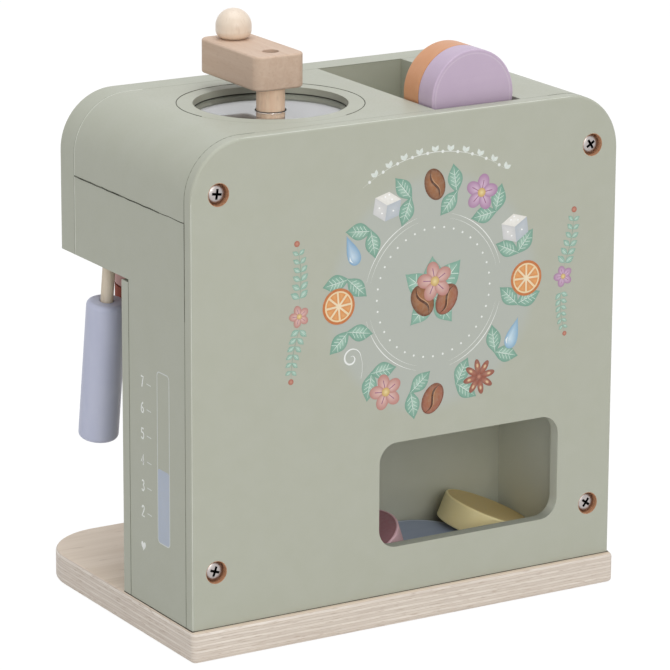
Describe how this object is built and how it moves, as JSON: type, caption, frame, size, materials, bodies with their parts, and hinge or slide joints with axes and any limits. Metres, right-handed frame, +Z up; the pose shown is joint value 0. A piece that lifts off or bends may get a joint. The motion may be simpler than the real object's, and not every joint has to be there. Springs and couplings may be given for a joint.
{
  "type": "toy coffee maker",
  "caption": "Wooden toy espresso machine with crank grinder, pad rack, pad tray window, swinging steam wand, twisting portafilter and brew dial.",
  "frame": {"origin": "centre of the underside of the base plate, on the surface it stands on", "axes": "+Z up; +Y towards the menu side with the pad window; +X towards the side with the water gauge; -Y towards the cup alcove and the user"},
  "size_m": [0.2464, 0.1842, 0.2966],
  "materials": {
    "bare_plywood": "clear matt varnish",
    "sage_paint": "matt water-based paint",
    "bare_beech": "fine sanded, unfinished",
    "clear_acrylic": "clear, polished",
    "lavender_card": "matt paint",
    "lilac_paint": "matt paint",
    "pink_paint": "matt paint",
    "terracotta_paint": "matt paint",
    "zinc_steel": "zinc plated",
    "pad_lilac_paint": "matt paint",
    "pad_orange_paint": "matt paint",
    "pad_mauve_paint": "matt paint",
    "pad_blue_paint": "matt paint",
    "pad_yellow_paint": "matt paint"
  },
  "bodies": {
    "body": {"base_plate": "bare_plywood", "menu_panel": "sage_paint", "side_board_right": "sage_paint", "side_board_left": "sage_paint", "lower_front_panel": "sage_paint", "upper_front_panel": "sage_paint", "top_board_right": "sage_paint", "top_board_left": "sage_paint", "rack_floor": "sage_paint", "overhang_floor": "sage_paint", "tray_partition": "sage_paint", "tray_ceiling": "sage_paint", "grinder_ring": "sage_paint", "grinder_window": "clear_acrylic", "grinder_floor": "lavender_card", "shaft_bearer": "bare_plywood", "bearer_screws": "zinc_steel", "menu_screws": "zinc_steel", "base_screws": "zinc_steel", "wand_pin": "zinc_steel", "group_head": "pink_paint", "group_screws": "zinc_steel", "portafilter_pivot": "zinc_steel"},
    "crank": {"crank_shaft": "bare_beech", "crank_arm": "bare_beech", "crank_screw": "zinc_steel", "crank_knob": "bare_beech"},
    "steam_wand": {"wand_rod": "bare_beech", "wand_grip": "lilac_paint"},
    "portafilter": {"portafilter_head": "terracotta_paint", "portafilter_handle": "lilac_paint", "portafilter_spouts": "bare_beech"},
    "dial": {"brew_dial": "pink_paint", "dial_spindle": "bare_beech", "dial_retainer": "bare_beech"},
    "lilac_pad": {"pad_lilac": "pad_lilac_paint"},
    "orange_pad": {"pad_orange": "pad_orange_paint"},
    "blue_pad": {"pad_blue": "pad_blue_paint"},
    "yellow_pad": {"pad_yellow": "pad_yellow_paint"},
    "mauve_pad": {"pad_mauve": "pad_mauve_paint"}
  },
  "joints": [
    {"name": "crank_turn", "type": "hinge", "parent": "body", "child": "crank", "pos_m": [0.043, 0.02175, 0.25], "axis": [0, 0, 1], "continuous": true},
    {"name": "wand_swing", "type": "hinge", "parent": "body", "child": "steam_wand", "pos_m": [0.1137, -0.01295, 0.18425], "axis": [1, 0, 0], "range_deg": [-12, 14]},
    {"name": "portafilter_twist", "type": "hinge", "parent": "body", "child": "portafilter", "pos_m": [0.0764, -0.02365, 0.148], "axis": [0, 0, 1], "range_deg": [0, 45]},
    {"name": "dial_turn", "type": "hinge", "parent": "body", "child": "dial", "pos_m": [0, -0.05175, 0.20805], "axis": [0, -1, 0], "continuous": true},
    {"name": "lilac_pad_lift", "type": "slide", "parent": "body", "child": "lilac_pad", "axis": [0, 0, 1], "range_m": [0, 0.045]},
    {"name": "orange_pad_lift", "type": "slide", "parent": "body", "child": "orange_pad", "axis": [0, 0, 1], "range_m": [0, 0.045]},
    {"name": "blue_pad_lift", "type": "slide", "parent": "body", "child": "blue_pad", "axis": [0, 0, 1], "range_m": [0, 0.027]},
    {"name": "yellow_pad_lift", "type": "slide", "parent": "blue_pad", "child": "yellow_pad", "axis": [0, 0, 1], "range_m": [0, 0.027]},
    {"name": "mauve_pad_lift", "type": "slide", "parent": "blue_pad", "child": "mauve_pad", "axis": [0, 0, 1], "range_m": [0, 0.027]}
  ]
}
